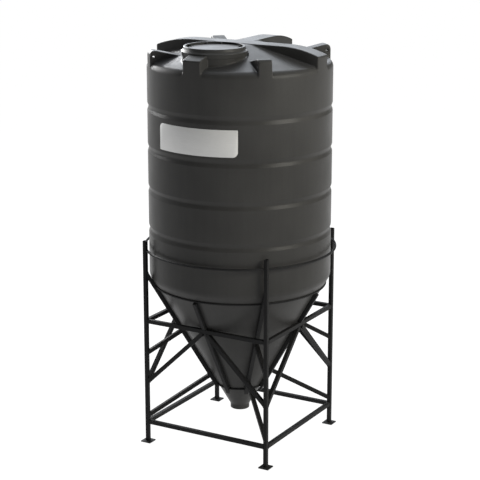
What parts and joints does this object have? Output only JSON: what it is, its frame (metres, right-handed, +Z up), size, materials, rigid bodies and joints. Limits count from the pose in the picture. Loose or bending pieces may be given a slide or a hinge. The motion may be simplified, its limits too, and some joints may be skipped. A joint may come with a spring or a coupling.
{
  "type": "conical bottom tank",
  "caption": "Tall round storage tank with a steep conical bottom and a central outlet, ribbed roof with lifting lugs and an off-centre manway lid, carried in a square braced tube stand.",
  "frame": {"origin": "on the tank's axis at floor level, midway between the four foot plates", "axes": "+Z up along the tank's axis; -Y towards the front, the side with the manway lid and the blank label; +X to the right seen from the front"},
  "size_m": [1.914, 1.914, 4.023],
  "materials": {
    "tank_shell": "matte, slightly pebbled",
    "lid": "matte",
    "frame_paint": "satin black paint"
  },
  "bodies": {
    "root": {"base_rail_back": "frame_paint", "base_rail_front": "frame_paint", "base_rail_left": "frame_paint", "base_rail_right": "frame_paint", "brace_left_back": "frame_paint", "brace_left_front": "frame_paint", "brace_left_left": "frame_paint", "brace_left_right": "frame_paint", "brace_right_back": "frame_paint", "brace_right_front": "frame_paint", "brace_right_left": "frame_paint", "brace_right_right": "frame_paint", "corner_rafter_back_left": "frame_paint", "corner_rafter_back_right": "frame_paint", "corner_rafter_front_left": "frame_paint", "corner_rafter_front_right": "frame_paint", "hoop_back": "frame_paint", "hoop_front": "frame_paint", "hoop_left": "frame_paint", "hoop_right": "frame_paint", "leg_back_left": "frame_paint", "leg_back_right": "frame_paint", "leg_front_left": "frame_paint", "leg_front_right": "frame_paint", "lifting_lug_back_left": "frame_paint", "lifting_lug_back_right": "frame_paint", "lifting_lug_front_left": "frame_paint", "lifting_lug_front_right": "frame_paint", "lower_rafter_back": "frame_paint", "lower_rafter_front": "frame_paint", "lower_rafter_left": "frame_paint", "lower_rafter_right": "frame_paint", "lower_ring": "frame_paint", "lower_strut_back_left": "frame_paint", "lower_strut_back_right": "frame_paint", "lower_strut_front_left": "frame_paint", "lower_strut_front_right": "frame_paint", "manway_lid": "lid", "mid_rail_back": "frame_paint", "mid_rail_front": "frame_paint", "mid_rail_left": "frame_paint", "mid_rail_right": "frame_paint", "roof_rib_back": "frame_paint", "roof_rib_front": "frame_paint", "roof_rib_left": "frame_paint", "roof_rib_right": "frame_paint", "tank_cone": "tank_shell", "tank_outlet": "tank_shell", "tank_roof": "tank_shell", "tank_wall": "tank_shell", "upper_rafter_back": "frame_paint", "upper_rafter_front": "frame_paint", "upper_rafter_left": "frame_paint", "upper_rafter_right": "frame_paint", "upper_ring": "frame_paint", "upper_strut_back_left": "frame_paint", "upper_strut_back_right": "frame_paint", "upper_strut_front_left": "frame_paint", "upper_strut_front_right": "frame_paint"}
  },
  "joints": []
}
